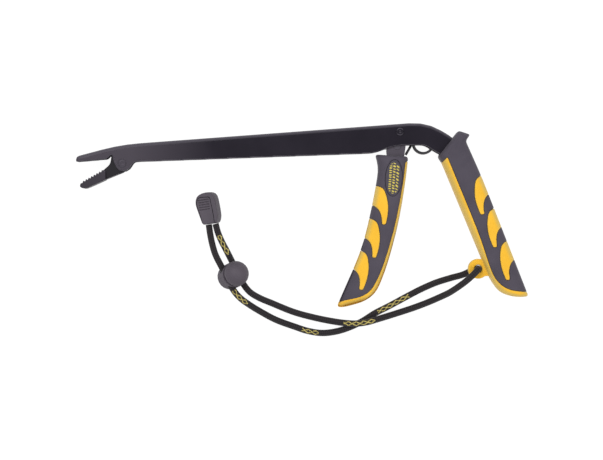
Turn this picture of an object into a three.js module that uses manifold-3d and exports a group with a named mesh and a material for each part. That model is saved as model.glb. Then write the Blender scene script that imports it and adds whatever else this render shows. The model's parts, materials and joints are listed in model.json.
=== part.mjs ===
// Long-nose pistol-grip hook remover with a wrist lanyard, lying on its side.
// Millimetres, +Z up. The nose points to -X, the grips hang towards -Y, and the tool's mid-plane
// is horizontal at Z = MID. Each mesh is one separate piece of the real tool.

import * as THREE from 'three';
import { mergeVertices } from 'three/addons/utils/BufferGeometryUtils.js';
import Module from 'manifold-3d';

const wasm = await Module();
wasm.setup();

// ---------------------------------------------------------------- driving dimensions

const MID = 10;                       // height of the tool's mid-plane
const GAP = 0.3;                      // clearance between fitted pieces
const SEAM = 0.12;                    // between a grip's core and the cover moulded over it

const CHANNEL = { width: 11, wall: 1.2, fold: 1.8 };
const TRIGGER_PIVOT = { x: 61.1, y: 51.5 };
const JAW_PIVOT = { x: -111, y: 31.9 };
const RIVET = { shank: 1.6, head: 2.4, rise: 0.7, dimple: 1 };

const TRIGGER_TRAVEL = 20;            // degrees from rest to fully squeezed
const JAW_TRAVEL = 26;                // degrees from open to closed
const ROD_ARM = 9.2;                  // trigger pivot to rear pin
const ROD = { thickness: 3, eye: 2.9, height: 3.4, rearHole: 1.5, frontHole: 1.9 };
const PIN = { radius: 1.2, head: 2, rise: 0.4 };

const LEVER_WIDTH = 6.6;
const BUSH = { radius: 3.3, thickness: 0.7 };
const JAW = { frontWidth: 11, rearWidth: 7.2, wall: 1.2, heel: 5.2, toothPitch: 1.8, toothRise: 1.1 };

const REAR_GRIP = { thickness: 20, cover: 2.2, round: 1.6, inset: 0.6 };
const FRONT_GRIP = { thickness: 19.4, cover: 2.2, round: 1.6, inset: 0.6, taper: 0.0055 };
const LUG = { x: 109.8, y: -33.5, radius: 6.2, hole: 2.45, thickness: 6 };
const BADGE = { x: 57.1, y: 22.7, width: 10.2, length: 22.4, thickness: 0.8, turn: -4 };

const SPRING = { x: 75.7, y: 44.5, radius: 6.2, wire: 1.6, turns: 3 };

const CORD = 4;                       // lanyard cord diameter
const LOCK = { x: -42.8, y: -37.7, z: 10.2, radius: 8, tilt: 28, spread: 4, travel: 2 };
const CLIP = { x: -57.6, y: 4.3, z: 6.4, turn: 8, roll: 16, thickness: 9, floor: 1.2 };

const STEEL_BLACK = { color: 0x2c2832, roughness: 0.38, metalness: 0.55 };
const STEEL_JAW = { color: 0x433d47, roughness: 0.42, metalness: 0.55 };
const STEEL_BARE = { color: 0x8a8a8c, roughness: 0.35, metalness: 0.9 };
const GRIP_YELLOW = { color: 0xf0c040, roughness: 0.5, metalness: 0 };
const GRIP_DARK = { color: 0x504a55, roughness: 0.8, metalness: 0 };
const BADGE_DARK = { color: 0x2b262c, roughness: 0.4, metalness: 0 };
const PLASTIC_DARK = { color: 0x5e5660, roughness: 0.6, metalness: 0 };
const CORD_BLACK = { color: 0x302a2e, roughness: 0.9, metalness: 0 };

const rad = THREE.MathUtils.degToRad;

// Both rod pins swing evenly to each side of their upright position, so the rod stays level.
const ROD_STROKE = 2 * ROD_ARM * Math.sin(rad(TRIGGER_TRAVEL / 2));
const JAW_ARM = ROD_STROKE / (2 * Math.sin(rad(JAW_TRAVEL / 2)));
const REAR_PIN = {
  x: TRIGGER_PIVOT.x - ROD_ARM * Math.sin(rad(TRIGGER_TRAVEL / 2)),
  y: TRIGGER_PIVOT.y - ROD_ARM * Math.cos(rad(TRIGGER_TRAVEL / 2)),
};
const FRONT_PIN = {
  x: JAW_PIVOT.x - JAW_ARM * Math.sin(rad(JAW_TRAVEL / 2)),
  y: JAW_PIVOT.y + JAW_ARM * Math.cos(rad(JAW_TRAVEL / 2)),
};

// ---------------------------------------------------------------- outlines: [x, y, corner run]

const CHANNEL_TOP = [
  [-139.9, 32.8, 1], [-139.9, 36.2, 2.2], [-112, 43.6, 12], [77.8, 57.7, 11], [95.6, 47, 5],
  [120.6, -12.3],
];
const CHANNEL_BOTTOM = [
  [111.8, -15.5], [90.4, 35.1, 3], [80.6, 40.6, 2.5], [76.5, 43.4, 3], [57, 43, 5], [46, 38.3, 5],
  [-104, 32.9, 1.6], [-107.4, 27.2, 3], [-113.2, 26.9, 3], [-116.4, 32.4, 3], [-117.2, 37.7, 1.2],
  [-120.8, 34.5, 0.8],
];
const FRONT_GRIP_OUTLINE = [
  [46.1, 37.4, 1.2], [66.3, 36.2, 2], [64.6, 20, 12], [60.2, -6, 13], [52.8, -33, 10],
  [46.4, -48.6, 6], [38.5, -54, 4], [27, -57.2, 3], [21.9, -57.4, 2.4], [38.2, -20.5, 14],
  [44.9, 9, 14], [48.2, 29, 6],
];
const FRONT_COVER_EDGE = [
  [72, 33.3], [64.5, 33, 1.2], [63.1, 20, 12], [58.4, -6, 13], [50.6, -33, 10], [44, -46.6, 6],
  [37.2, -51.2, 4], [18, -54.9],
];
const REAR_GRIP_OUTLINE = [
  [97.5, 52.2, 1.2], [104.7, 49.8, 1.2], [101.9, 45.8, 1.6], [111.3, 24.8, 10], [140.9, -50.6, 1.8],
  [132.6, -51.2, 5], [123.9, -48.6, 4], [117.9, -41, 6], [111.7, -26, 8], [87.4, 32.4, 2],
  [84.8, 36.3, 1.6],
];
const REAR_COVER_EDGE = [
  [83, 27.6], [90.2, 35.7, 0.8], [110.3, -13, 14], [116, -31, 6], [119.4, -39.2, 4], [123.8, -44, 4],
  [129.6, -46.8, 4], [150, -48.7],
];
const FLAME = [
  [-6, 6.4], [1.2, 6.6, 1.5], [6, 5, 3.5], [8.4, -3, 4], [8.6, -10, 4], [7.1, -17.4, 0.9],
  [4.7, -17.5, 0.9], [4.4, -11.5, 4], [1.6, -6.4, 4], [-6, -3.6],
];

// ---------------------------------------------------------------- geometry helpers

// The curve at a corner takes up no more than half of either side.
function stepTowards([x, y], [endX, endY], run) {
  const share = Math.min(0.5, run / Math.hypot(endX - x, endY - y));
  return [x + (endX - x) * share, y + (endY - y) * share];
}

// A path through corners whose third value says how far before and after the corner it curves.
function traceCorners(path, corners, closed) {
  corners.forEach((corner, index) => {
    const [x, y, run = 0] = corner;
    const before = corners.at(index - 1);
    const after = corners[(index + 1) % corners.length];
    const start = run > 0 ? stepTowards(corner, before, run) : [x, y];
    if (index === 0) path.moveTo(...start);
    else path.lineTo(...start);
    if (run > 0) path.quadraticCurveTo(x, y, ...stepTowards(corner, after, run));
  });
  if (closed) path.closePath();
  return path;
}

function sampledPoints(corners, closed = true, divisions = 3) {
  const points = traceCorners(new THREE.Path(), corners, closed).getPoints(divisions);
  const far = points.filter((p, i) => i === 0 || p.distanceTo(points[i - 1]) > 1e-6);
  if (closed && far[0].distanceTo(far.at(-1)) < 1e-6) far.pop();
  return far;
}

function distanceToLoop(point, loop) {
  return Math.min(...loop.map((start, index) => {
    const along = new THREE.Vector2().subVectors(loop[(index + 1) % loop.length], start);
    const offset = new THREE.Vector2().subVectors(point, start);
    const share = THREE.MathUtils.clamp(offset.dot(along) / along.lengthSq(), 0, 1);
    return offset.addScaledVector(along, -share).length();
  }));
}

// Moves each point of a loop along its mitred normal; a positive distance grows the loop.
// Points that end up too near the old loop, as they do inside tight corners, are left out.
function grownLoop(points, distance) {
  const sign = THREE.ShapeUtils.area(points) > 0 ? 1 : -1;
  const moved = points.map((point, index) => {
    const before = points.at(index - 1);
    const after = points[(index + 1) % points.length];
    const first = new THREE.Vector2().subVectors(point, before).normalize();
    const second = new THREE.Vector2().subVectors(after, point).normalize();
    const mitre = first.add(second).normalize();
    const stretch = Math.max(0.35, Math.abs(mitre.dot(second)));
    const shift = sign * distance / stretch;
    return new THREE.Vector2(point.x + mitre.y * shift, point.y - mitre.x * shift);
  });
  const clear = moved.filter((point) => distanceToLoop(point, points) >= Math.abs(distance) * 0.985);
  return clear.filter((point, index) => point.distanceTo(clear.at(index - 1)) > 0.4);
}

// Turns any closed geometry into a manifold-3d solid.
function solid(geometry) {
  const bare = geometry.clone();
  bare.deleteAttribute('normal');
  bare.deleteAttribute('uv');
  const welded = mergeVertices(bare, 1e-4);
  const corners = welded.index.array;
  const triangles = [];
  for (let i = 0; i < corners.length; i += 3) {
    const [a, b, c] = [corners[i], corners[i + 1], corners[i + 2]];
    if (a !== b && b !== c && a !== c) triangles.push(a, b, c);
  }
  return new wasm.Manifold(new wasm.Mesh({
    numProp: 3,
    vertProperties: new Float32Array(welded.attributes.position.array),
    triVerts: new Uint32Array(triangles),
  }));
}

function geometryOf(body) {
  const mesh = body.getMesh();
  const geometry = new THREE.BufferGeometry();
  geometry.setAttribute('position', new THREE.BufferAttribute(mesh.vertProperties, 3));
  geometry.setIndex(new THREE.BufferAttribute(mesh.triVerts, 1));
  geometry.computeVertexNormals();
  return geometry;
}

// A flat plate of this outline, centred on the mid-plane unless a middle height is given.
function plate(points, thickness, middle = MID) {
  const shape = new THREE.Shape(points);
  const geometry = new THREE.ExtrudeGeometry(shape, { depth: thickness, bevelEnabled: false });
  geometry.translate(0, 0, middle - thickness / 2);
  return solid(geometry);
}

// A plate with rounded rims that keeps the outline's full size.
function roundedPlate(points, thickness, round, inset = round, middle = MID, segments = 2) {
  const geometry = new THREE.ExtrudeGeometry(new THREE.Shape(points), {
    depth: thickness - 2 * round,
    bevelThickness: round,
    bevelSize: inset,
    bevelOffset: -inset,
    bevelSegments: segments,
  });
  geometry.translate(0, 0, middle - thickness / 2 + round);
  return solid(geometry);
}

// A round bar along Z.
function bar({ x, y }, radius, thickness, middle = MID, sides = 16) {
  const geometry = new THREE.CylinderGeometry(radius, radius, thickness, sides);
  geometry.rotateX(Math.PI / 2);
  geometry.translate(x, y, middle);
  return solid(geometry);
}

function block(x0, x1, y0, y1, z0, z1) {
  const geometry = new THREE.BoxGeometry(x1 - x0, y1 - y0, z1 - z0);
  geometry.translate((x0 + x1) / 2, (y0 + y1) / 2, (z0 + z1) / 2);
  return solid(geometry);
}

function placedLoop(corners, x, y, angle) {
  const turned = corners.map(([u, v, run]) => {
    const spot = new THREE.Vector2(u, v).rotateAround(new THREE.Vector2(), rad(angle));
    return [x + spot.x, y + spot.y, run];
  });
  return sampledPoints(turned, true, 3);
}

function circlePoints(radius, sides) {
  return Array.from({ length: sides }, (_, i) => {
    const turn = (2 * Math.PI * i) / sides;
    return new THREE.Vector2(radius * Math.cos(turn), radius * Math.sin(turn));
  });
}

// A round bar of the given diameter along any curve.
function rope(curve, diameter, steps, sides = 8) {
  const section = new THREE.Shape(circlePoints(diameter / 2, sides));
  return new THREE.ExtrudeGeometry(section, { steps, extrudePath: curve, bevelEnabled: false });
}

function smoothCurve(points) {
  return new THREE.CatmullRomCurve3(points.map((p) => new THREE.Vector3(...p)), false, 'centripetal');
}

const tool = new THREE.Group();

function addPiece(name, shape, look, parent = tool) {
  const geometry = shape instanceof THREE.BufferGeometry ? shape : geometryOf(shape);
  const mesh = new THREE.Mesh(geometry, new THREE.MeshStandardMaterial(look));
  mesh.name = name;
  parent.add(mesh);
  return mesh;
}

// ---------------------------------------------------------------- folded channel

const channelLoop = sampledPoints([...CHANNEL_TOP, ...CHANNEL_BOTTOM]);

// The fold runs along the top edge only: the rounded blank reaches below the true lower edge.
function foldedBlank() {
  const drop = 5;
  const lowered = [
    ...CHANNEL_TOP.slice(1),
    [111.8 - drop, -15.5 - drop / 2], [88, 30, 3], [76, 38, 3], [57, 36, 5], [46, 31, 5],
    [-104, 24], [-139.9, 24],
  ];
  return roundedPlate(sampledPoints(lowered), CHANNEL.width, CHANNEL.fold);
}

// The inside follows the top edge one wall thickness below it and is open all along the bottom.
function channelCavity() {
  const { wall } = CHANNEL;
  const loop = sampledPoints([
    [-139.9 + wall, 10], [-139.9 + wall, 35.8, 1], [-112, 43.6 - wall, 12],
    [77.6, 57.6 - wall, 10], [94.6, 46.2, 4], [123, -21.2], [100, -21.2], [76, 10],
  ]);
  return plate(loop, CHANNEL.width - 2 * wall);
}

function bodyChannel() {
  const holes = [TRIGGER_PIVOT, JAW_PIVOT].map((at) => bar(at, RIVET.shank + GAP, 2 * CHANNEL.width));
  return holes.reduce(
    (body, hole) => body.subtract(hole),
    foldedBlank().intersect(plate(channelLoop, CHANNEL.width)).subtract(channelCavity()),
  );
}

// A clenched rivet: straight shank, flat round heads with a shallow dimple.
function rivet(span) {
  const { shank, head, rise, dimple } = RIVET;
  const seat = span / 2 + 0.1;
  const half = [
    [shank, seat], [head, seat], [head, seat + rise * 0.55], [head - 0.6, seat + rise],
    [dimple, seat + rise], [0, seat + rise * 0.45],
  ];
  const lower = half.map(([r, h]) => [r, -h]).reverse();
  const profile = [...lower, ...half].map(([r, h]) => new THREE.Vector2(r, h));
  return new THREE.LatheGeometry(profile, 14).rotateX(Math.PI / 2);
}

function addRivet(name, { x, y }) {
  const mesh = addPiece(name, rivet(CHANNEL.width), STEEL_BLACK);
  mesh.position.set(x, y, MID);
}

// ---------------------------------------------------------------- trigger lever and pull rod

const LEVER_NECK = [
  [57.8, 52.5, 1], [64.4, 52.5, 1], [65, 44, 3], [63.8, 36, 4], [60, 8, 4], [56.4, -13, 1.5],
  [50.6, -12, 1.5], [54.2, 10, 4], [53.6, 34, 4], [52.6, 41.5, 2.5], [57.6, 46.5, 3],
];

function triggerLever() {
  const slot = bar(REAR_PIN, 4.6, ROD.thickness + 2 * GAP)
    .add(block(40, REAR_PIN.x, REAR_PIN.y - 4.4, REAR_PIN.y + 5.4, 8.2, 11.8));
  return plate(sampledPoints(LEVER_NECK), LEVER_WIDTH)
    .add(bar(TRIGGER_PIVOT, 3.5, LEVER_WIDTH))
    .subtract(slot)
    .subtract(bar(TRIGGER_PIVOT, RIVET.shank + GAP, 20))
    .subtract(bar(REAR_PIN, PIN.radius + 0.2, 20));
}

function bush() {
  const { radius, thickness } = BUSH;
  return bar({ x: 0, y: 0 }, radius, thickness, 0).subtract(bar({ x: 0, y: 0 }, RIVET.shank + GAP, 5, 0));
}

function addBushes() {
  const offset = LEVER_WIDTH / 2 + 0.15 + BUSH.thickness / 2;
  for (const [name, side] of [['trigger_bush_upper', 1], ['trigger_bush_lower', -1]]) {
    addPiece(name, bush(), STEEL_BARE).position.set(TRIGGER_PIVOT.x, TRIGGER_PIVOT.y, MID + side * offset);
  }
}

// A pin peened over to a thin head just outside both faces of the piece it crosses.
function headedPin(at, width) {
  const { radius, head, rise } = PIN;
  const seat = width / 2 + 0.1;
  return bar(at, radius, 2 * seat + rise)
    .add(bar(at, head, rise, MID + seat + rise / 2))
    .add(bar(at, head, rise, MID - seat - rise / 2));
}

function pullRod() {
  const slope = (REAR_PIN.y - FRONT_PIN.y) / (REAR_PIN.x - FRONT_PIN.x);
  const length = Math.hypot(REAR_PIN.x - FRONT_PIN.x, REAR_PIN.y - FRONT_PIN.y);
  const strip = new THREE.BoxGeometry(length, ROD.height, ROD.thickness);
  strip.rotateZ(Math.atan(slope));
  strip.translate((REAR_PIN.x + FRONT_PIN.x) / 2, (REAR_PIN.y + FRONT_PIN.y) / 2, MID);
  return solid(strip)
    .add(bar(REAR_PIN, ROD.eye, ROD.thickness))
    .add(bar(FRONT_PIN, ROD.eye, ROD.thickness))
    .subtract(bar(REAR_PIN, ROD.rearHole, 20))
    .subtract(bar(FRONT_PIN, ROD.frontHole, 20));
}

// ---------------------------------------------------------------- lower jaw

function toothedEdge() {
  const start = new THREE.Vector2(-122.4, 27.2);
  const end = new THREE.Vector2(-135.6, 19.7);
  const along = new THREE.Vector2().subVectors(end, start);
  const teeth = Math.floor(along.length() / JAW.toothPitch);
  const up = new THREE.Vector2(along.y, -along.x).normalize().multiplyScalar(JAW.toothRise);
  const points = [];
  for (let i = 0; i < teeth; i += 1) {
    const root = start.clone().addScaledVector(along, i / teeth);
    const tip = start.clone().addScaledVector(along, (i + 0.35) / teeth).add(up);
    points.push([root.x, root.y], [tip.x, tip.y]);
  }
  return [...points, [end.x, end.y]];
}

// The front of the jaw is as wide as the beak; its neck and arm fit between the channel walls.
function lowerJaw() {
  const front = sampledPoints([
    [-121.4, 27.4, 0.5], ...toothedEdge(), [-136.7, 19.7, 0.8], [-137.4, 17.3, 1.2], [-134.4, 16, 1.6],
    [-131, 17.4, 2], [-123.6, 20.7], [-121.4, 21.8],
  ]);
  const neck = sampledPoints([
    [-124.6, 20.6], [-110.6, 26.4], [-106.4, 32], [-109.4, 38.4], [-117.6, 38, 1.5],
    [-118.6, 31.4, 2], [-124.6, 26.2],
  ]);
  const frontPocket = sampledPoints([
    [-135.2, 19], [-133.6, 18.3], [-123.2, 22.4], [-123.2, 30], [-135.2, 30],
  ]);
  const rearPocket = sampledPoints([
    [-124.2, 22.2], [-113.4, 26.7], [-113.4, 20], [-102, 20], [-102, 46], [-124.2, 46],
  ]);
  return plate(front, JAW.frontWidth)
    .add(plate(neck, JAW.rearWidth))
    .add(bar(JAW_PIVOT, JAW.heel, JAW.rearWidth))
    .add(bar(FRONT_PIN, 2.6, JAW.rearWidth))
    .subtract(plate(frontPocket, JAW.frontWidth - 2 * JAW.wall))
    .subtract(plate(rearPocket, JAW.rearWidth - 2 * JAW.wall))
    .subtract(bar(JAW_PIVOT, RIVET.shank + GAP, 20))
    .subtract(bar(FRONT_PIN, PIN.radius + 0.2, 20));
}

// ---------------------------------------------------------------- grips

// The region behind a cover's edge: the edge itself, then around the far side of the grip.
function coverRegion(edge, farSide, shrink) {
  const loop = sampledPoints([...edge, ...farSide]);
  return plate(grownLoop(loop, -shrink), 60);
}

// Flame-shaped windows down the outer edge of a grip.
function flames({ spots, mirrored }, grow) {
  const corners = FLAME.map(([u, v, run]) => [mirrored ? -u : u, v, run]);
  const ordered = mirrored ? corners.reverse() : corners;
  return spots
    .map(([x, y, angle]) => plate(grownLoop(placedLoop(ordered, x, y, angle), grow), 60))
    .reduce((all, one) => all.add(one));
}

function gripBlank({ thickness, round, inset }, outline) {
  return roundedPlate(sampledPoints(outline), thickness, round, inset);
}

function innerBlank({ thickness, cover }, outline, clearance) {
  const loop = grownLoop(grownLoop(sampledPoints(outline), -cover), clearance);
  return plate(loop, thickness - 2 * (cover - clearance));
}

// Core: a slimmer body under the cover, plus the bare edge strip and the flames at full size.
function gripCore(grip, outline, region, flameRow) {
  const blank = gripBlank(grip, outline);
  return innerBlank(grip, outline, 0)
    .add(blank.subtract(region(0)))
    .add(blank.intersect(flames(flameRow, 0)));
}

function gripCover(grip, outline, region, flameRow) {
  return gripBlank(grip, outline)
    .intersect(region(SEAM))
    .subtract(innerBlank(grip, outline, SEAM))
    .subtract(flames(flameRow, SEAM));
}

const rearRegion = (shrink) => coverRegion(REAR_COVER_EDGE, [[150, 60], [80, 60]], shrink);
const frontRegion = (shrink) => coverRegion(FRONT_COVER_EDGE, [[18, 45], [72, 45]], shrink);
const REAR_FLAMES = { spots: [[114.3, 18.4, 11], [122.2, -1.9, 11], [130.1, -22.1, 11]], mirrored: true };
const FRONT_FLAMES = { spots: [[45.2, 11.4, 0], [40.7, -8.7, -5], [34.2, -28.3, -10]], mirrored: false };

// Room for the bent tail of the channel.
function tailSocket() {
  return plate(grownLoop(channelLoop, GAP), CHANNEL.width + 2 * GAP);
}

function rearCore() {
  const eye = bar(LUG, LUG.radius, LUG.thickness, MID, 24)
    .add(block(LUG.x, LUG.x + 9, LUG.y - 4.5, LUG.y + 4, MID - LUG.thickness / 2, MID + LUG.thickness / 2));
  return gripCore(REAR_GRIP, REAR_GRIP_OUTLINE, rearRegion, REAR_FLAMES)
    .subtract(tailSocket())
    .add(eye)
    .subtract(bar(LUG, LUG.hole, 20, MID, 24));
}

function rearCover() {
  return gripCover(REAR_GRIP, REAR_GRIP_OUTLINE, rearRegion, REAR_FLAMES).subtract(tailSocket());
}

// The trigger grip gets evenly thinner towards its free end.
function tapered(body) {
  const geometry = geometryOf(body);
  const spots = geometry.attributes.position;
  for (let i = 0; i < spots.count; i += 1) {
    const down = (56 - spots.getX(i)) * 0.247 + (37.4 - spots.getY(i)) * 0.969;
    const scale = 1 - FRONT_GRIP.taper * down;
    spots.setZ(i, MID + (spots.getZ(i) - MID) * scale);
  }
  return solid(geometry);
}

function ovalLoop(grow) {
  const centre = new THREE.Vector2(BADGE.x, BADGE.y);
  return circlePoints(1, 24).map((p) => {
    const spot = new THREE.Vector2(p.x * (BADGE.width / 2 + grow), p.y * (BADGE.length / 2 + grow));
    return spot.rotateAround(new THREE.Vector2(), rad(BADGE.turn)).add(centre);
  });
}

// The oval inlay lies flush in a recess on either side of the trigger grip.
function badge(side) {
  const middle = FRONT_GRIP.thickness / 2 - BADGE.thickness / 2;
  return tapered(plate(ovalLoop(0), BADGE.thickness, MID + side * middle));
}

function badgeRecess(side) {
  const depth = BADGE.thickness + GAP;
  const middle = FRONT_GRIP.thickness / 2 - depth + 2;
  return plate(ovalLoop(GAP), 4, MID + side * middle);
}

function leverSocket() {
  const loop = grownLoop(sampledPoints(LEVER_NECK), GAP);
  return plate(loop, LEVER_WIDTH + 2 * GAP);
}

function frontCore() {
  return tapered(gripCore(FRONT_GRIP, FRONT_GRIP_OUTLINE, frontRegion, FRONT_FLAMES))
    .subtract(leverSocket());
}

function frontCover() {
  const cover = gripCover(FRONT_GRIP, FRONT_GRIP_OUTLINE, frontRegion, FRONT_FLAMES)
    .subtract(badgeRecess(1))
    .subtract(badgeRecess(-1));
  return tapered(cover).subtract(leverSocket());
}

// ---------------------------------------------------------------- return spring

// Three turns behind the trigger's neck; one leg bears on the lever, the other on the rear grip.
function returnSpring() {
  const { x, y, radius, wire, turns } = SPRING;
  const pitch = wire + 0.3;
  const low = MID - (turns * pitch) / 2;
  const points = [[65, 37.4, low], [67.2, 41.2, low], [69.2, 44.8, low]];
  const start = Math.PI * 0.84;
  const perTurn = 12;
  const total = turns * perTurn + 2;
  for (let i = 0; i <= total; i += 1) {
    const turn = start - (2 * Math.PI * i) / perTurn;
    const rise = low + (pitch * i) / perTurn;
    points.push([x + radius * Math.cos(turn), y + radius * Math.sin(turn), rise]);
  }
  const high = low + (pitch * total) / perTurn;
  points.push([80.4, 49.6, high], [85, 45.8, high], [89, 41.4, high]);
  return rope(smoothCurve(points), wire, 58, 6);
}

// ---------------------------------------------------------------- lanyard

const TRIGGER_STRAND = [
  [-53.5, -5.55, 6.9], [-52, -11, 7], [-49.6, -16.6, 7.7], [-46.8, -21.9, 8.3], [-43.2, -29, 8.3],
  [-39.6, -36.1, 8.3], [-36, -43.2, 8.3], [-32, -48.2, 6.4], [-26, -52, 3.4], [-19, -55, 2.25],
  [-4.6, -60.8, 2.15], [9.6, -64.6, 2.15], [20, -66.6, 3], [27, -67.5, 5], [34, -67.8, 6.5],
  [41, -66.9, 6.4], [47, -65.3, 5.2], [52, -63.9, 3.4], [58, -62.1, 2.25], [69.7, -58.3, 2.15],
  [79, -54.8, 2.25], [86, -51.6, 5], [92, -48.4, 10], [97.5, -44.4, 15.5], [102, -40.8, 18],
  [106.6, -36.7, 17.6], [109.2, -34.1, 15.6], [109.8, -33.5, 13.4], [109.8, -33.5, 10.2],
];
const FLOOR_STRAND = [
  [-57.75, -6.15, 5.5], [-56.9, -12, 6], [-55.4, -18.6, 8.6], [-53.2, -25.1, 11.9],
  [-49.6, -32.2, 12.1], [-46, -39.3, 12.1], [-42.4, -46.4, 11.8], [-38.4, -51.4, 9.4],
  [-32, -56.4, 5.2], [-25, -60.8, 2.7], [-16, -65.6, 2.15], [-4, -70, 2.15], [4, -72.6, 2.15],
  [13, -73.9, 2.15], [22, -72.9, 2.15], [30, -70.4, 2.15], [38, -66.6, 2.15], [46, -61.6, 2.15],
  [55, -57, 2.15], [65, -51.6, 2.15], [75, -46.4, 2.15], [84.2, -42.4, 2.15], [93.7, -39.4, 2.15],
  [101, -37.4, 2.15], [106, -35.1, 2.8], [109.1, -33.8, 4.6], [109.8, -33.5, 6.6], [109.8, -33.5, 9.8],
];

const lockAxis = new THREE.Vector3(
  Math.sin(rad(LOCK.tilt)) * 0.894,
  Math.sin(rad(LOCK.tilt)) * 0.447,
  Math.cos(rad(LOCK.tilt)),
);
const strandWay = new THREE.Vector3(0.452, -0.892, 0);

// The cord lock's own frame: X across the two strands, Y along them, Z along the button.
function lockFrame() {
  const across = new THREE.Vector3().crossVectors(strandWay, lockAxis).normalize();
  const along = new THREE.Vector3().crossVectors(lockAxis, across).normalize();
  const group = new THREE.Group();
  const turn = new THREE.Matrix4().makeBasis(across, along, lockAxis);
  group.quaternion.setFromRotationMatrix(turn);
  group.position.set(LOCK.x, LOCK.y, LOCK.z);
  tool.add(group);
  return group;
}

function turned(profile, sides = 20) {
  const points = profile.map(([r, h]) => new THREE.Vector2(r, h));
  return solid(new THREE.LatheGeometry(points, sides).rotateX(Math.PI / 2));
}

function arcProfile(radius, centreR, centreH, fromDegrees, toDegrees, steps) {
  return Array.from({ length: steps + 1 }, (_, i) => {
    const turn = rad(fromDegrees + ((toDegrees - fromDegrees) * i) / steps);
    return [centreR + radius * Math.cos(turn), centreH + radius * Math.sin(turn)];
  });
}

function strandHoles(radius, stretch) {
  return [-1, 1].map((side) => {
    const hole = new THREE.CylinderGeometry(radius, radius, 30, 12);
    hole.translate(side * LOCK.spread, 0, 0);
    const upper = hole.clone().translate(0, 0, stretch);
    const between = new THREE.BoxGeometry(2 * radius, 30, Math.max(stretch, 0.01));
    between.translate(side * LOCK.spread, 0, stretch / 2);
    return solid(hole).add(solid(upper)).add(solid(between));
  }).reduce((all, one) => all.add(one));
}

function lockHousing() {
  const { radius } = LOCK;
  const outside = [[0, -8.6], ...arcProfile(4, radius - 4, -4.6, -90, 0, 4), [radius, 3.4], [0, 3.4]];
  const bore = [[0, -6.9], [6.7, -6.9], [6.7, 9], [0, 9]];
  return turned(outside).subtract(turned(bore)).subtract(strandHoles(CORD / 2 + GAP, 0));
}

function lockButton() {
  const { radius, travel } = LOCK;
  const base = 3.4 + travel + 0.2;
  const outside = [[0, -3.5], [6.4, -3.5], [6.4, base], ...arcProfile(radius, 0, base, 0, 90, 7)];
  return turned(outside).subtract(strandHoles(CORD / 2 + GAP, travel));
}

function lockSpring() {
  const turns = 2.5;
  const points = Array.from({ length: 26 }, (_, i) => {
    const turn = (2 * Math.PI * turns * i) / 25;
    return [3.4 * Math.cos(turn), 3.4 * Math.sin(turn), -6.3 + (2.2 * i) / 25];
  });
  return rope(smoothCurve(points), 0.6, 30, 5);
}

function addCordLock() {
  const group = lockFrame();
  addPiece('cord_lock_housing', lockHousing(), PLASTIC_DARK, group);
  addPiece('cord_lock_button', lockButton(), PLASTIC_DARK, group);
  addPiece('cord_lock_spring', lockSpring(), STEEL_BARE, group);
}

const CLIP_OUTLINE = [
  [4.7, -10, 1.4], [6.3, -6.4, 2], [6.3, 0, 4], [5.6, 8.6, 3.4], [1, 10.2, 3], [-5.6, 9, 3.4],
  [-7.6, 4, 3], [-5.4, -6, 3], [-4.4, -10, 1.2],
];

const LATCH_OUTLINE = [
  [3.5, -12], [3.4, -3, 3], [2.7, 6.6, 1.2], [-4.8, 7.2, 1.8], [-6.4, 3.6, 1.6], [-4.6, -5, 3],
  [-3.6, -12],
];

// The latch lies in the front of the body, flush at the mouth; five grip grooves cross its free end.
function clipLatch(blank) {
  const top = CLIP.thickness / 2;
  const grooves = [-0.6, 0.9, 2.4, 3.9, 5.4].map((v) => block(-5, 2, v - 0.3, v + 0.3, top - 0.6, top + 1));
  const body = plate(sampledPoints(LATCH_OUTLINE), 20, 10 + CLIP.floor + GAP).intersect(blank);
  return grooves.reduce((all, groove) => all.subtract(groove), body);
}

function clipBody(blank) {
  const pocket = grownLoop(sampledPoints(LATCH_OUTLINE), GAP);
  return blank.subtract(plate(pocket, 20, 10 + CLIP.floor));
}

function addCordEnd() {
  const group = new THREE.Group();
  group.position.set(CLIP.x, CLIP.y, CLIP.z);
  group.rotation.set(0, rad(-CLIP.roll), rad(CLIP.turn), 'ZYX');
  tool.add(group);
  const blank = roundedPlate(sampledPoints(CLIP_OUTLINE), CLIP.thickness, 1.4, 0.6, 0, 2);
  addPiece('cord_end_front', clipLatch(blank), PLASTIC_DARK, group);
  addPiece('cord_end_back', clipBody(blank), PLASTIC_DARK, group);
}

// ---------------------------------------------------------------- assembly

addPiece('body_channel', bodyChannel(), STEEL_BLACK);
addRivet('trigger_pivot_rivet', TRIGGER_PIVOT);
addRivet('jaw_pivot_rivet', JAW_PIVOT);
addPiece('rear_grip_core', rearCore(), GRIP_YELLOW);
addPiece('rear_grip_cover', rearCover(), GRIP_DARK);
addPiece('trigger_lever', triggerLever(), STEEL_JAW);
addBushes();
addPiece('front_grip_core', frontCore(), GRIP_YELLOW);
addPiece('front_grip_cover', frontCover(), GRIP_DARK);
addPiece('front_grip_badge_upper', badge(1), BADGE_DARK);
addPiece('front_grip_badge_lower', badge(-1), BADGE_DARK);
addPiece('pull_rod', pullRod(), STEEL_BARE);
addPiece('rod_rear_pin', headedPin(REAR_PIN, LEVER_WIDTH), STEEL_BLACK);
addPiece('rod_front_pin', headedPin(FRONT_PIN, JAW.rearWidth), STEEL_BLACK);
addPiece('lower_jaw', lowerJaw(), STEEL_JAW);
addPiece('return_spring', returnSpring(), STEEL_BARE);
addPiece('lanyard_strand_upper', rope(smoothCurve(TRIGGER_STRAND), CORD, 50), CORD_BLACK);
addPiece('lanyard_strand_lower', rope(smoothCurve(FLOOR_STRAND), CORD, 50), CORD_BLACK);
addCordLock();
addCordEnd();

export default tool;
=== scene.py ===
"""A long-nose pistol-grip hook remover with its wrist lanyard, seen from straight above."""

import json
import math

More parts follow.
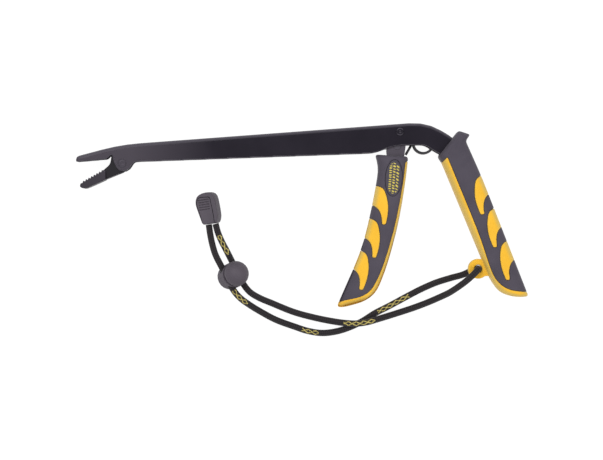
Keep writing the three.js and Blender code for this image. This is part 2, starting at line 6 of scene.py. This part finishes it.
import bmesh
import bpy
import numpy as np
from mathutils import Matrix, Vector


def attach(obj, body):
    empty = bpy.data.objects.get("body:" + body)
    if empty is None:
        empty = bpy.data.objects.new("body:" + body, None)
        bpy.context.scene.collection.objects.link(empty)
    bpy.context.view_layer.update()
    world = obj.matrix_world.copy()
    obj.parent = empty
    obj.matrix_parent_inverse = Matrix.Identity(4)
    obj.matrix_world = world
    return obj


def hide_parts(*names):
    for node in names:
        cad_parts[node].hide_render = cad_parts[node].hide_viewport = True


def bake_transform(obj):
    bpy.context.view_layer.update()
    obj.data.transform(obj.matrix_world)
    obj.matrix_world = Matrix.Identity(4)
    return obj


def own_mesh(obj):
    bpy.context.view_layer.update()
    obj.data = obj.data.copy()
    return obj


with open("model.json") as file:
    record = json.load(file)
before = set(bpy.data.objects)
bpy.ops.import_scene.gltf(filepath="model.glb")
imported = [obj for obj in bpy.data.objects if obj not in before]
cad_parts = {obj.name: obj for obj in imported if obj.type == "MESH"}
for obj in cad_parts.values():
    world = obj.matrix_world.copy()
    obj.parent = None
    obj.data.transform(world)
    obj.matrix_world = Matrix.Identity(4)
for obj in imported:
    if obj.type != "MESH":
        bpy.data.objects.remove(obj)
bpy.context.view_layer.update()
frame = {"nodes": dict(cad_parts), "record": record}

MM = 0.001
MID = 0.010                      # height of the tool's mid-plane
CORD = 0.004                     # lanyard cord diameter

# ---------------------------------------------------------------- camera, light and floor

CAMERA_HEIGHT = 1.15             # above the plane that the scale is set on
SCALE_PLANE = 0.014
SEEN_WIDTH = 0.3739              # metres across the frame on that plane
SENSOR = 36.0
VIEW_CENTRE = (0.0001, -0.0094)  # straight below the camera
FLOOR_REACH = 3.0
FLOOR_DROP = 0.0004              # keeps the floor clear of what lies on it


def add_camera():
    data = bpy.data.cameras.new("camera")
    data.sensor_width = SENSOR
    data.lens = SENSOR * CAMERA_HEIGHT / SEEN_WIDTH
    camera = bpy.data.objects.new("camera", data)
    camera.location = (*VIEW_CENTRE, SCALE_PLANE + CAMERA_HEIGHT)
    bpy.context.scene.collection.objects.link(camera)
    bpy.context.scene.camera = camera


def add_light(name, place, size, power):
    data = bpy.data.lights.new(name, "AREA")
    data.shape = "DISK"
    data.size = size
    data.energy = power
    light = bpy.data.objects.new(name, data)
    light.location = place
    light.rotation_euler = (-Vector(place)).to_track_quat("-Z", "Y").to_euler()
    bpy.context.scene.collection.objects.link(light)


def add_world(strength):
    world = bpy.data.worlds.new("studio")
    world.use_nodes = True
    background = world.node_tree.nodes["Background"]
    background.inputs["Color"].default_value = (1.0, 1.0, 1.0, 1.0)
    background.inputs["Strength"].default_value = strength
    bpy.context.scene.world = world


def add_floor():
    grid = bmesh.new()
    bmesh.ops.create_grid(grid, x_segments=1, y_segments=1, size=FLOOR_REACH)
    mesh = bpy.data.meshes.new("floor")
    grid.to_mesh(mesh)
    grid.free()
    floor = bpy.data.objects.new("floor", mesh)
    floor.location.z = -FLOOR_DROP
    bpy.context.scene.collection.objects.link(floor)
    material = bpy.data.materials.new("floor")
    material.use_nodes = True
    shader = material.node_tree.nodes["Principled BSDF"]
    shader.inputs["Base Color"].default_value = (0.12, 0.12, 0.12, 1.0)
    shader.inputs["Roughness"].default_value = 0.9
    shader.inputs["Specular IOR Level"].default_value = 0.0
    shader.inputs["Emission Color"].default_value = (1.0, 1.0, 1.0, 1.0)
    shader.inputs["Emission Strength"].default_value = 0.95
    mesh.materials.append(material)


# ---------------------------------------------------------------- materials

NOSE_LIGHTENING = (-0.055, -0.105)     # X where the channel starts to lighten, and where it is lightest
DEEP_SHADE = (0.0050, 0.0036)    # distances from the mid-plane between which painted shade darkens the jaw


def new_material(name, roughness, metallic=0.0, sheen=0.0, gloss=0.5):
    material = bpy.data.materials.new(name)
    material.use_nodes = True
    shader = material.node_tree.nodes["Principled BSDF"]
    shader.inputs["Roughness"].default_value = roughness
    shader.inputs["Metallic"].default_value = metallic
    shader.inputs["Sheen Weight"].default_value = sheen
    shader.inputs["Specular IOR Level"].default_value = gloss
    return material, material.node_tree, shader


def add_node(tree, kind, **values):
    node = tree.nodes.new(kind)
    for key, value in values.items():
        if key in node.inputs:
            node.inputs[key].default_value = value
        else:
            setattr(node, key, value)
    return node


def object_coordinates(tree):
    return tree.nodes.new("ShaderNodeTexCoord").outputs["Object"]


def noise(tree, place, scale, detail=3.0, roughness=0.5):
    node = add_node(tree, "ShaderNodeTexNoise", Scale=scale, Detail=detail, Roughness=roughness)
    tree.links.new(place, node.inputs["Vector"])
    return node.outputs["Fac"]


def ramp(tree, value, low, high, dark, light):
    node = tree.nodes.new("ShaderNodeValToRGB")
    node.color_ramp.elements[0].position = low
    node.color_ramp.elements[1].position = high
    node.color_ramp.elements[0].color = (*dark, 1.0)
    node.color_ramp.elements[1].color = (*light, 1.0)
    tree.links.new(value, node.inputs["Fac"])
    return node.outputs["Color"]


def spread(tree, value, low, high):
    node = add_node(tree, "ShaderNodeMapRange", **{"To Min": low, "To Max": high})
    tree.links.new(value, node.inputs["Value"])
    return node.outputs["Result"]


def bump(tree, shader, height, strength, distance):
    node = add_node(tree, "ShaderNodeBump", Strength=strength, Distance=distance)
    tree.links.new(height, node.inputs["Height"])
    tree.links.new(node.outputs["Normal"], shader.inputs["Normal"])


def edge_wear(tree, low=0.52, high=0.60):
    pointiness = tree.nodes.new("ShaderNodeNewGeometry").outputs["Pointiness"]
    return ramp(tree, pointiness, low, high, (0, 0, 0), (1, 1, 1))


def mixed(tree, factor, first, second):
    node = tree.nodes.new("ShaderNodeMix")
    node.data_type = "RGBA"
    tree.links.new(factor, node.inputs["Factor"])
    for value, socket in ((first, node.inputs["A"]), (second, node.inputs["B"])):
        if isinstance(value, tuple):
            socket.default_value = (*value, 1.0)
        else:
            tree.links.new(value, socket)
    return node.outputs["Result"]


def component(tree, vector, axis):
    split = tree.nodes.new("ShaderNodeSeparateXYZ")
    tree.links.new(vector, split.inputs["Vector"])
    return split.outputs[axis]


def faded(tree, value, start, end):
    """Grows from 0 to 1 as the value goes from start to end."""
    fade = add_node(tree, "ShaderNodeMapRange", **{"From Min": start, "From Max": end})
    tree.links.new(value, fade.inputs["Value"])
    return fade.outputs["Result"]


def magnitude(tree, value):
    size = add_node(tree, "ShaderNodeMath", operation="ABSOLUTE")
    tree.links.new(value, size.inputs[0])
    return size.outputs[0]


def facing(tree, axis, low, high):
    """Grows from 0 to 1 as a surface turns towards the axis, or away from it if low > high."""
    normal = tree.nodes.new("ShaderNodeNewGeometry").outputs["Normal"]
    return faded(tree, magnitude(tree, component(tree, normal, axis)), low, high)


def plain_finish(name, dark, light, roughness, grain, grain_depth, sides=None, **look):
    """A finish with soft blotches of colour, uneven gloss, a fine grain and perhaps painted shade on its
    sides.
    """
    material, tree, shader = new_material(name, roughness, **look)
    place = object_coordinates(tree)
    colour = ramp(tree, noise(tree, place, 60.0, 4.0), 0.3, 0.7, dark, light)
    # painted shade: surfaces turning away from straight up take the darker sides colour
    if sides:
        colour = mixed(tree, facing(tree, "Z", 0.95, 0.7), colour, sides)
    tree.links.new(colour, shader.inputs["Base Color"])
    tree.links.new(
        spread(tree, noise(tree, place, 220.0), roughness - 0.07, roughness + 0.07),
        shader.inputs["Roughness"],
    )
    bump(tree, shader, noise(tree, place, grain, 2.0), 0.35, grain_depth)
    return material


def deep_shade_mask(tree, place, outer, inner):
    """Grows from 0 to 1 between two distances from the tool's mid-plane; it masks the jaw's painted
    shade.
    """
    offset = add_node(tree, "ShaderNodeMath", operation="SUBTRACT")
    tree.links.new(component(tree, place, "Z"), offset.inputs[0])
    offset.inputs[1].default_value = MID
    return faded(tree, magnitude(tree, offset.outputs[0]), outer, inner)


def worn_finish(
    name, dark, light, worn, roughness, grain, grain_depth, nose=None, painted_deep_shade=None, **look
):
    """A coated metal with rubbed edges, perhaps lighter at the nose and on faces turned along Y, perhaps
    with painted shade deep inside.
    """
    material, tree, shader = new_material(name, roughness, **look)
    place = object_coordinates(tree)
    coat = ramp(tree, noise(tree, place, 45.0, 5.0), 0.3, 0.75, dark, light)
    # lighter towards the nose, and on faces turned along Y, the channel's rims, in the colour of the
    # rubbed edges
    if nose:
        coat = mixed(tree, faded(tree, component(tree, place, "X"), *NOSE_LIGHTENING), coat, nose)
        coat = mixed(tree, facing(tree, "Y", 0.1, 0.5), coat, worn)
    # painted shade: the jaw darkens deep inside the channel, near its mid-plane
    if painted_deep_shade:
        coat = mixed(tree, deep_shade_mask(tree, place, *DEEP_SHADE), coat, painted_deep_shade)
    tree.links.new(mixed(tree, edge_wear(tree), coat, worn), shader.inputs["Base Color"])
    tree.links.new(
        spread(tree, noise(tree, place, 160.0, 5.0), roughness - 0.08, roughness + 0.1),
        shader.inputs["Roughness"],
    )
    bump(tree, shader, noise(tree, place, grain, 3.0), 0.3, grain_depth)
    return material


def cord_finish():
    """Braided black cord; the woven tracer marks come from the mesh's own attribute."""
    material, tree, shader = new_material("cord_braid", 0.85, sheen=0.12, gloss=0.25)
    place = object_coordinates(tree)
    thread = tree.nodes.new("ShaderNodeAttribute")
    thread.attribute_name = "thread"
    mark = tree.nodes.new("ShaderNodeAttribute")
    mark.attribute_name = "tracer"
    fuzz = noise(tree, place, 1500.0, 2.0)
    # painted shade: the braid's colour darkens where its surface dips between threads
    black = ramp(tree, thread.outputs["Fac"], 0.0, 1.0, (0.006, 0.005, 0.006), (0.030, 0.025, 0.029))
    yellow = ramp(tree, fuzz, 0.2, 0.8, (0.40, 0.32, 0.06), (0.66, 0.56, 0.20))
    tree.links.new(mixed(tree, mark.outputs["Fac"], black, yellow), shader.inputs["Base Color"])
    tree.links.new(spread(tree, fuzz, 0.75, 0.95), shader.inputs["Roughness"])
    bump(tree, shader, fuzz, 0.5, 0.00012)
    return material


def badge_finish():
    """Dark oval inlay whose rows of fine strokes come from the mesh's own attribute."""
    material, tree, shader = new_material("badge_print", 0.5, gloss=0.35)
    place = object_coordinates(tree)
    ink = tree.nodes.new("ShaderNodeAttribute")
    ink.attribute_name = "ink"
    speck = noise(tree, place, 900.0)
    dark = ramp(tree, speck, 0.3, 0.7, (0.046, 0.039, 0.054), (0.058, 0.049, 0.067))
    gold = ramp(tree, speck, 0.3, 0.7, (0.52, 0.42, 0.05), (0.70, 0.58, 0.10))
    tree.links.new(mixed(tree, ink.outputs["Fac"], dark, gold), shader.inputs["Base Color"])
    tree.links.new(spread(tree, speck, 0.32, 0.5), shader.inputs["Roughness"])
    return material


FINISHES = {
    "coated_steel": worn_finish(
        "coated_steel", (0.010, 0.008, 0.014), (0.016, 0.013, 0.021), (0.080, 0.073, 0.090),
        # the lighter colour towards the channel's nose
        0.38, 900.0, 0.00004, nose=(0.056, 0.048, 0.062), metallic=0.05, gloss=0.1,
    ),
    "jaw_steel": worn_finish(
        "jaw_steel", (0.023, 0.019, 0.027), (0.040, 0.033, 0.045), (0.14, 0.12, 0.15),
        # the colour of the painted shade on the jaw's neck inside the channel
        0.42, 900.0, 0.00005, painted_deep_shade=(0.008, 0.006, 0.010), metallic=0.1, gloss=0.2,
    ),
    "bare_steel": worn_finish(
        "bare_steel", (0.36, 0.36, 0.37), (0.5, 0.5, 0.51), (0.62, 0.62, 0.63),
        0.35, 700.0, 0.00002, metallic=0.95,
    ),
    "spring_steel": worn_finish(
        "spring_steel", (0.016, 0.014, 0.018), (0.030, 0.027, 0.033), (0.10, 0.10, 0.11),
        0.34, 1200.0, 0.00002, metallic=0.4, gloss=0.4,
    ),
    "grip_yellow": plain_finish(
        "grip_yellow", (0.79, 0.425, 0.017), (0.87, 0.485, 0.025), 0.55, 1400.0, 0.00003,
        # the darker gold painted on the yellow strips' sideways faces, as painted shade
        sides=(0.65, 0.44, 0.090), gloss=0.3,
    ),
    "grip_dark": plain_finish(
        "grip_dark", (0.054, 0.046, 0.064), (0.070, 0.060, 0.081), 0.78, 1800.0, 0.00012,
        sheen=0.06, gloss=0.35,
    ),
    "lock_plastic": plain_finish(
        "lock_plastic", (0.062, 0.052, 0.067), (0.080, 0.067, 0.085), 0.6, 1500.0, 0.00008, gloss=0.35,
    ),
    "cord": cord_finish(),
    "badge": badge_finish(),
    # The trigger's neck has the jaw's slot, but is given a lighter copy of its coating: painted light
    # that lifts the shade it lies in under the channel.
    "lever_steel_painted_light": worn_finish(
        "lever_steel_painted_light", (0.060, 0.050, 0.068), (0.078, 0.066, 0.088), (0.15, 0.13, 0.16),
        0.5, 900.0, 0.00005, gloss=0.3,
    ),
}


# ---------------------------------------------------------------- mesh helpers

def add_object(name, mesh, slot, body, *nodes):
    """Links a finished mesh, gives it its slot's finish and lets it stand for CAD nodes.

    A piece with no body of its own is left unattached."""
    piece = bpy.data.objects.new(name, mesh)
    bpy.context.scene.collection.objects.link(piece)
    mesh.materials.clear()
    mesh.materials.append(FINISHES[slot])
    for polygon in mesh.polygons:
        polygon.use_smooth = True
    if body:
        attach(piece, body)
    if nodes:
        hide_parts(*nodes)
    return piece


def evaluated_copy(source, name, modifiers):
    """A new mesh: the source's, with these modifiers applied."""
    worker = bpy.data.objects.new(name + "_worker", source.copy())
    bpy.context.scene.collection.objects.link(worker)
    for kind, settings in modifiers:
        modifier = worker.modifiers.new(kind, kind)
        for key, value in settings.items():
            setattr(modifier, key, value)
    graph = bpy.context.evaluated_depsgraph_get()
    mesh = bpy.data.meshes.new_from_object(worker.evaluated_get(graph))
    bpy.data.objects.remove(worker)
    mesh.name = name
    return mesh


def welded(node):
    """A copy of a CAD node's mesh with its split corners joined."""
    work = bmesh.new()
    work.from_mesh(frame["nodes"][node].data)
    bmesh.ops.remove_doubles(work, verts=work.verts, dist=2e-6)
    mesh = bpy.data.meshes.new(node + "_welded")
    work.to_mesh(mesh)
    work.free()
    return mesh


def refined(node, voxel, smoothing=4):
    """The node's shape as a fine even mesh with softly broken edges."""
    return evaluated_copy(welded(node), node + "_fine", [
        ("REMESH", {"mode": "VOXEL", "voxel_size": voxel}),
        ("SMOOTH", {"factor": 0.5, "iterations": smoothing}),
    ])


def coordinates(mesh):
    values = np.empty(len(mesh.vertices) * 3)
    mesh.vertices.foreach_get("co", values)
    return values.reshape(-1, 3)


def set_coordinates(mesh, values):
    mesh.vertices.foreach_set("co", values.ravel())
    mesh.update()


def store(mesh, name, values):
    attribute = mesh.attributes.new(name, "FLOAT", "POINT")
    attribute.data.foreach_set("value", np.asarray(values, dtype=np.float32))


def tube_mesh(name, centres, radii, sides):
    """A closed tube through centres (N x 3); radii is N x sides."""
    centres = np.asarray(centres)
    count = len(centres)
    tangents = np.gradient(centres, axis=0)
    tangents /= np.linalg.norm(tangents, axis=1)[:, None]
    normal = np.cross(tangents[0], (0.0, 0.0, 1.0))
    if np.linalg.norm(normal) < 0.1:
        normal = np.cross(tangents[0], (0.0, 1.0, 0.0))
    normals = []
    for tangent in tangents:
        normal = normal - tangent * normal.dot(tangent)
        normal = normal / np.linalg.norm(normal)
        normals.append(normal)
    normals = np.array(normals)
    others = np.cross(tangents, normals)
    turn = np.arange(sides) * 2 * math.pi / sides
    ring = (
        normals[:, None, :] * np.cos(turn)[None, :, None]
        + others[:, None, :] * np.sin(turn)[None, :, None]
    )
    spots = (centres[:, None, :] + ring * radii[:, :, None]).reshape(-1, 3)
    faces = []
    for i in range(count - 1):
        for j in range(sides):
            k = (j + 1) % sides
            faces.append((i * sides + j, i * sides + k, (i + 1) * sides + k, (i + 1) * sides + j))
    faces.append(tuple(range(sides))[::-1])
    faces.append(tuple((count - 1) * sides + j for j in range(sides)))
    mesh = bpy.data.meshes.new(name)
    mesh.from_pydata([tuple(p) for p in spots], [], faces)
    work = bmesh.new()
    work.from_mesh(mesh)
    bmesh.ops.recalc_face_normals(work, faces=work.faces)
    work.to_mesh(mesh)
    work.free()
    return mesh


def smooth_route(points, step):
    """Centripetal Catmull-Rom through the points, in metres, at an even spacing."""
    spots = np.array(points, float) * MM
    spots = np.vstack([2 * spots[0] - spots[1], spots, 2 * spots[-1] - spots[-2]])
    fine = []
    for i in range(1, len(spots) - 2):
        p0, p1, p2, p3 = spots[i - 1:i + 3]
        t0 = 0.0
        t1 = t0 + np.linalg.norm(p1 - p0) ** 0.5
        t2 = t1 + np.linalg.norm(p2 - p1) ** 0.5
        t3 = t2 + np.linalg.norm(p3 - p2) ** 0.5
        for t in np.linspace(t1, t2, 24, endpoint=False):
            a1 = (t1 - t) / (t1 - t0) * p0 + (t - t0) / (t1 - t0) * p1
            a2 = (t2 - t) / (t2 - t1) * p1 + (t - t1) / (t2 - t1) * p2
            a3 = (t3 - t) / (t3 - t2) * p2 + (t - t2) / (t3 - t2) * p3
            b1 = (t2 - t) / (t2 - t0) * a1 + (t - t0) / (t2 - t0) * a2
            b2 = (t3 - t) / (t3 - t1) * a2 + (t - t1) / (t3 - t1) * a3
            fine.append((t2 - t) / (t2 - t1) * b1 + (t - t1) / (t2 - t1) * b2)
    fine.append(spots[-2])
    fine = np.array(fine)
    along = np.concatenate([[0.0], np.cumsum(np.linalg.norm(np.diff(fine, axis=0), axis=1))])
    even = np.linspace(0.0, along[-1], int(along[-1] / step) + 1)
    return np.column_stack([np.interp(even, along, fine[:, k]) for k in range(3)]), even


# ---------------------------------------------------------------- lanyard

TRIGGER_STRAND = [
    (-53.5, -5.55, 6.9), (-52, -11, 7), (-49.6, -16.6, 7.7), (-46.8, -21.9, 8.3), (-43.2, -29, 8.3),
    (-39.6, -36.1, 8.3), (-36, -43.2, 8.3), (-32, -48.2, 6.4), (-26, -52, 3.4), (-19, -55, 2.25),
    (-4.6, -60.8, 2.15), (9.6, -64.6, 2.15), (20, -66.6, 3), (27, -67.5, 5), (34, -67.8, 6.5),
    (41, -66.9, 6.4), (47, -65.3, 5.2), (52, -63.9, 3.4), (58, -62.1, 2.25), (69.7, -58.3, 2.15),
    (79, -54.8, 2.25), (86, -51.6, 5), (92, -48.4, 10), (97.5, -44.4, 15.5), (102, -40.8, 18),
    (106.6, -36.7, 17.6), (109.2, -34.1, 15.6), (109.8, -33.5, 13.4), (109.8, -33.5, 10.2),
]
FLOOR_STRAND = [
    (-57.75, -6.15, 5.5), (-56.9, -12, 6), (-55.4, -18.6, 8.6), (-53.2, -25.1, 11.9),
    (-49.6, -32.2, 12.1), (-46, -39.3, 12.1), (-42.4, -46.4, 11.8), (-38.4, -51.4, 9.4),
    (-32, -56.4, 5.2), (-25, -60.8, 2.7), (-16, -65.6, 2.15), (-4, -70, 2.15), (4, -72.6, 2.15),
    (13, -73.9, 2.15), (22, -72.9, 2.15), (30, -70.4, 2.15), (38, -66.6, 2.15), (46, -61.6, 2.15),
    (55, -57, 2.15), (65, -51.6, 2.15), (75, -46.4, 2.15), (84.2, -42.4, 2.15), (93.7, -39.4, 2.15),
    (101, -37.4, 2.15), (106, -35.1, 2.8), (109.1, -33.8, 4.6), (109.8, -33.5, 6.6), (109.8, -33.5, 9.8),
]
CORD_SIDES = 32
CORD_STEP = 0.0004
BRAID_STRANDS = 8                # threads crossing each way round the cord
BRAID_PITCH = 0.0105             # length of one full turn of a thread
TRACER_LENGTH = 0.0046           # one diamond, along the cord
TRACER_REACH = 0.6               # a diamond's half width, as a share of the cord's radius
TRACER_LINE = 0.13               # half width of its line, as the same share


def tracer_mask(along, turn, spans):
    """A chain of thin diamonds woven into the upper side of the cord, within the given spans."""
    across = np.cos(turn)
    zigzag = TRACER_REACH * np.abs(2 * np.mod(along / TRACER_LENGTH, 1.0) - 1)
    inside = np.zeros(along.shape, bool)
    for start, end in spans:
        inside |= (along > start) & (along < end)
    diamond = np.abs(np.abs(across) - zigzag) < TRACER_LINE
    return (diamond & inside & (np.sin(turn) > 0)).astype(float)


def up_angle(mesh, centres):
    """Each point's angle round the cord, a quarter turn being straight up."""
    offset = coordinates(mesh).reshape(len(centres), CORD_SIDES, 3) - centres[:, None, :]
    height = offset[:, :, 2] / np.linalg.norm(offset, axis=2)
    height /= height.max(axis=1)[:, None]
    height = np.clip(height, -1.0, 1.0)
    ahead = np.gradient(centres, axis=0)
    side = offset[:, :, 0] * ahead[:, None, 1] - offset[:, :, 1] * ahead[:, None, 0]
    return np.arctan2(height, np.sign(side) * np.sqrt(1 - height ** 2))


def add_strand(name, node, route, spans):
    centres, along = smooth_route(route, CORD_STEP)
    turn = np.arange(CORD_SIDES) * 2 * math.pi / CORD_SIDES
    twist = 2 * math.pi * along[:, None] / BRAID_PITCH
    right = np.sin(BRAID_STRANDS / 2 * turn[None, :] + twist * BRAID_STRANDS / 2)
    left = np.sin(BRAID_STRANDS / 2 * turn[None, :] - twist * BRAID_STRANDS / 2)
    thread = 0.5 + 0.5 * right * left
    radii = CORD / 2 * (0.98 + 0.06 * thread)
    mesh = tube_mesh(name, centres, radii, CORD_SIDES)
    marks = tracer_mask(np.repeat(along[:, None], CORD_SIDES, 1), up_angle(mesh, centres), spans)
    store(mesh, "thread", thread.ravel())
    store(mesh, "tracer", marks.ravel())
    piece = add_object(name, mesh, "cord", "frame", node)


# ---------------------------------------------------------------- grips

REAR_GRIP = ((0.0935, 0.046), (0.3877, -0.9218))     # top of the grip, and the way down it
FRONT_GRIP = ((0.056, 0.0374), (0.247, -0.969))
STATION_STEP = 0.0005
FACE_LIFT = 0.0042               # a grip's faces lie further than this from the mid-plane
GRIP_ROUND = 0.0055              # radius of a grip's rims
CROWN_START = 0.0036             # nearer the mid-plane than this, nothing moves

BADGE_TURN = 4                   # degrees
BADGE_HALF_WIDTH = 0.0051
BADGE_HALF_LENGTH = 0.0112
INK_ROW = 0.0022                 # distance between rows of strokes
INK_SHARE = 0.34                 # a row's half width, as a share of that distance
INK_REACH = 0.86                 # how far out the strokes go, as a share of the oval


def outline_by_station(nodes, origin, down, high):
    """Each grip's left and right edge and half thickness at every half millimetre of its length."""
    across = np.array((-down[1], down[0]))
    segments = []
    for node in nodes:
        mesh = welded(node)
        spots = coordinates(mesh)
        for edge in mesh.edges:
            pair = spots[list(edge.vertices)]
            if pair[:, 2].min() >= high:
                segments.append(pair)
        bpy.data.meshes.remove(mesh)
    segments = np.array(segments)
    flat = segments[:, :, :2] - np.array(origin)
    station = flat @ np.array(down)
    side = flat @ across
    lift = segments[:, :, 2] - MID
    stations = np.arange(station.min() + STATION_STEP, station.max(), STATION_STEP)
    rows = []
    for s in stations:
        crossing = (station.min(axis=1) <= s) & (station.max(axis=1) > s)
        share = (s - station[crossing, 0]) / (station[crossing, 1] - station[crossing, 0])
        at_side = side[crossing, 0] + share * (side[crossing, 1] - side[crossing, 0])
        at_lift = lift[crossing, 0] + share * (lift[crossing, 1] - lift[crossing, 0])
        rows.append((s, at_side.min(), at_side.max(), at_lift.max()))
    return np.array(rows), across


def crowned(mesh, rows, origin, down, across):
    """Pulls both faces down towards the grip's outline, so that its rims are well rounded."""
    spots = coordinates(mesh)
    flat = spots[:, :2] - np.array(origin)
    station = flat @ np.array(down)
    side = flat @ across
    low = np.interp(station, rows[:, 0], rows[:, 1])
    high = np.interp(station, rows[:, 0], rows[:, 2])
    half = np.interp(station, rows[:, 0], rows[:, 3])
    inset = np.minimum.reduce([side - low, high - side, station - rows[0, 0], rows[-1, 0] - station])
    depth = np.clip(inset, 0.0, GRIP_ROUND)
    drop = GRIP_ROUND - np.sqrt(GRIP_ROUND ** 2 - (GRIP_ROUND - depth) ** 2)
    lift = spots[:, 2] - MID
    size = np.abs(lift)
    share = np.clip((size - CROWN_START) / np.maximum(half - CROWN_START, 1e-6), 0.0, 1.2)
    spots[:, 2] = MID + np.sign(lift) * (size - share * drop)
    set_coordinates(mesh, spots)


def add_grip(nodes, body, origin, down):
    rows, across = outline_by_station(nodes, origin, down, MID + FACE_LIFT)
    for node, slot in nodes.items():
        mesh = refined(node, 0.0004, 5)
        crowned(mesh, rows, origin, down, across)
        add_object(node + "_moulded", mesh, slot, body, node)


def add_badge(node, body):
    """The oval inlay, with three rows of uneven strokes that spell nothing."""
    mesh = refined(node, 0.00016, 2)
    spots = coordinates(mesh)
    centre = (spots.min(axis=0) + spots.max(axis=0)) / 2
    turn = math.radians(BADGE_TURN)
    flat = spots[:, :2] - centre[:2]
    u = flat[:, 0] * math.cos(turn) - flat[:, 1] * math.sin(turn)
    v = flat[:, 0] * math.sin(turn) + flat[:, 1] * math.cos(turn)
    reach = np.sqrt((u / BADGE_HALF_WIDTH) ** 2 + (v / BADGE_HALF_LENGTH) ** 2)
    row = np.round(u / INK_ROW)
    in_row = np.abs(u / INK_ROW - row) < INK_SHARE
    phase = 2 * math.pi * (v + 0.3 * u * (row + 1)) / (0.0017 + 0.0003 * row)
    strokes = (np.sin(phase) + 0.5 * np.sin(0.53 * phase + row)) > 0.15
    ink = strokes & in_row & (np.abs(row) <= 1) & (reach < INK_REACH)
    store(mesh, "ink", ink.astype(float))
    add_object(node + "_inlay", mesh, "badge", body, node)


# ---------------------------------------------------------------- assembly

def add_fine(node, slot, body, voxel, smoothing=3):
    return add_object(node + "_fine", refined(node, voxel, smoothing), slot, body, node)


# The return spring, in millimetres.
SPRING_CENTRE = (75.7, 44.5)
SPRING_RADIUS = 6.2
SPRING_WIRE = 1.6
SPRING_TURNS = 3
SPRING_GAP = 0.3                 # between turns
COIL_POINTS = 12                 # in each turn
COIL_START = 0.84                # in half turns from +X


def add_return_spring():
    """Three turns in the channel, with a leg at each end; the whole spring stays put."""
    pitch = SPRING_WIRE + SPRING_GAP
    low = MID / MM - SPRING_TURNS * pitch / 2
    points = [(65, 37.4, low), (67.2, 41.2, low), (69.2, 44.8, low)]
    steps = SPRING_TURNS * COIL_POINTS + 2
    for i in range(steps + 1):
        turn = math.pi * COIL_START - 2 * math.pi * i / COIL_POINTS
        x = SPRING_CENTRE[0] + SPRING_RADIUS * math.cos(turn)
        y = SPRING_CENTRE[1] + SPRING_RADIUS * math.sin(turn)
        points.append((x, y, low + pitch * i / COIL_POINTS))
    high = low + pitch * steps / COIL_POINTS
    points += [(80.4, 49.6, high), (85, 45.8, high), (89, 41.4, high)]
    centres, _ = smooth_route(points, 0.0003)
    mesh = tube_mesh("return_spring", centres, np.full((len(centres), 14), SPRING_WIRE / 2 * MM), 14)
    piece = add_object("return_spring_wire", mesh, "spring_steel", None, "return_spring")
    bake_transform(piece)


def add_lock_spring():
    """The small coil under the button."""
    piece = add_fine("cord_lock_spring", "spring_steel", "cord_lock", 0.00012, 1)
    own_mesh(piece)


def dress_cad_nodes():
    """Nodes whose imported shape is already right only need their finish."""
    slots = {row["node"]: row["material_slot"] for row in frame["record"]["subparts"]}
    for name, node in frame["nodes"].items():
        if not node.hide_render:
            node.data.materials.clear()
            node.data.materials.append(FINISHES[slots[name]])


add_camera()
bpy.context.scene.view_settings.view_transform = "Standard"
add_world(0.68)
add_light("key", (-0.45, 0.5, 1.2), 0.6, 8.0)
add_light("fill", (0.7, -0.3, 1.0), 1.2, 4.0)
add_floor()

clip_front = add_fine("cord_end_front", "lock_plastic", "frame", 0.00014, 2)
clip_back = add_fine("cord_end_back", "lock_plastic", "frame", 0.00014, 4)
add_strand(
    "cord_over", "lanyard_strand_upper", TRIGGER_STRAND,
    [(0.008, 0.021), (0.112, 0.131)],
)
add_strand(
    "cord_under", "lanyard_strand_lower", FLOOR_STRAND,
    [(0.045, 0.058), (0.097, 0.108), (0.148, 0.170)],
)
add_fine("cord_lock_housing", "lock_plastic", "cord_lock", 0.00025)
add_fine("cord_lock_button", "lock_plastic", "lock_button", 0.00025)
add_grip(
    {"rear_grip_core": "grip_yellow", "rear_grip_cover": "grip_dark"}, "frame", *REAR_GRIP,
)
add_grip(
    {"front_grip_core": "grip_yellow", "front_grip_cover": "grip_dark"}, "trigger", *FRONT_GRIP,
)
add_badge("front_grip_badge_upper", "trigger")
add_badge("front_grip_badge_lower", "trigger")
add_fine("body_channel", "coated_steel", "frame", 0.0005, 2)
add_fine("lower_jaw", "jaw_steel", "jaw", 0.00015, 1)
lever = add_fine("trigger_lever", "jaw_steel", "trigger", 0.0003, 2)
# painted light: the lever gets the lighter copy of the jaw's coating
lever.data.materials[0] = FINISHES["lever_steel_painted_light"]
add_fine("trigger_pivot_rivet", "coated_steel", "frame", 0.00016, 2)
add_fine("jaw_pivot_rivet", "coated_steel", "frame", 0.00016, 2)
add_return_spring()
add_lock_spring()
add_fine("pull_rod", "bare_steel", "pull_rod", 0.0003, 2)
dress_cad_nodes()
